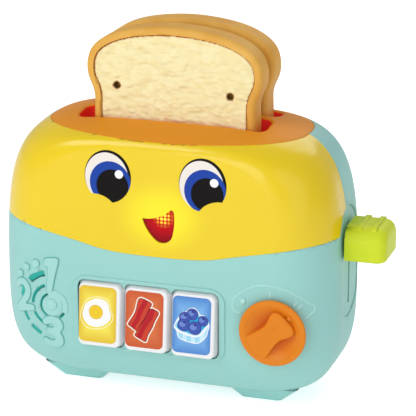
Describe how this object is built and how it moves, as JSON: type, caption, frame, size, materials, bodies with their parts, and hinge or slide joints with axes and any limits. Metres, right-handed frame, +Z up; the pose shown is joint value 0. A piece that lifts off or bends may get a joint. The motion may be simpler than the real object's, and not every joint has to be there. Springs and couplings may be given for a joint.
{
  "type": "toy toaster",
  "caption": "Toy toaster: rounded casing with pop-up toast slices on a sprung carriage, side lever, picture buttons, rotary knob, speaker grille and light-up mouth.",
  "frame": {"origin": "on the floor, in the middle of the whole toy's width and depth, lever and buttons included", "axes": "+Z up, +X towards the lever, -Y towards the face side"},
  "size_m": [0.2351, 0.1041, 0.2234],
  "materials": {
    "teal_shell": "satin moulded plastic",
    "yellow_shell": "glossy moulded plastic",
    "orange_shell": "satin moulded plastic",
    "crust": "satin moulded plastic",
    "crumb": "finely pitted moulded plastic",
    "lime_shell": "satin moulded plastic",
    "white_cap": "glossy moulded plastic",
    "orange_knob": "satin moulded plastic",
    "red_lens": "clear red plastic",
    "inner_frame": "plain natural plastic",
    "circuit_board": "coated glass-fibre board",
    "silicone": "matt silicone",
    "steel": "bright steel",
    "spring_steel": "drawn wire",
    "zinc_screw": "zinc-plated steel",
    "contact_metal": "nickel-plated strip",
    "speaker_paper": "pressed paper",
    "speaker_steel": "pressed steel",
    "cell_jacket": "printed sleeve, plain",
    "lamp_body": "clear epoxy lamp"
  },
  "bodies": {
    "casing": {"front_casing": "teal_shell", "rear_casing": "teal_shell", "battery_door": "teal_shell", "face_panel": "yellow_shell", "top_trim": "orange_shell", "mouth_lens": "red_lens", "mouth_light_board": "circuit_board", "mouth_lamp": "lamp_body", "guide_rods": "steel", "lift_frame": "inner_frame", "frame_screws": "zinc_screw", "return_springs": "spring_steel", "button_pad": "silicone", "main_board": "circuit_board", "board_screws": "zinc_screw", "contact_block": "inner_frame", "speaker_frame": "speaker_steel", "speaker_cone": "speaker_paper", "speaker_magnet": "speaker_steel", "battery_door_screw": "zinc_screw", "batteries": "cell_jacket", "battery_contacts": "contact_metal", "case_screws": "zinc_screw"},
    "lift": {"carriage": "inner_frame", "lever_knob": "lime_shell", "front_toast_crust": "crust", "rear_toast_crust": "crust", "front_toast_crumb": "crumb", "rear_toast_crumb": "crumb", "toast_screws": "zinc_screw"},
    "egg_key": {"egg_button": "white_cap"},
    "bacon_key": {"bacon_button": "white_cap"},
    "berry_key": {"berry_button": "white_cap"},
    "dial": {"rotary_knob": "orange_knob", "contact_disc": "contact_metal", "knob_screw": "zinc_screw"}
  },
  "joints": [
    {"name": "toast_lift", "type": "slide", "parent": "casing", "child": "lift", "axis": [0, 0, 1], "range_m": [-0.038, 0], "stiffness_N_per_m": 120, "springref_m": 0.035, "deforming": ["return_springs"]},
    {"name": "egg_press", "type": "slide", "parent": "casing", "child": "egg_key", "axis": [0, 1, 0], "range_m": [0, 0.002], "stiffness_N_per_m": 300, "springref_m": -0.001},
    {"name": "bacon_press", "type": "slide", "parent": "casing", "child": "bacon_key", "axis": [0, 1, 0], "range_m": [0, 0.002], "stiffness_N_per_m": 300, "springref_m": -0.001},
    {"name": "berry_press", "type": "slide", "parent": "casing", "child": "berry_key", "axis": [0, 1, 0], "range_m": [0, 0.002], "stiffness_N_per_m": 300, "springref_m": -0.001},
    {"name": "knob_turn", "type": "hinge", "parent": "casing", "child": "dial", "pos_m": [0.06, -0.04592, 0.0542], "axis": [0, -1, 0], "range_deg": [0, 90]}
  ]
}
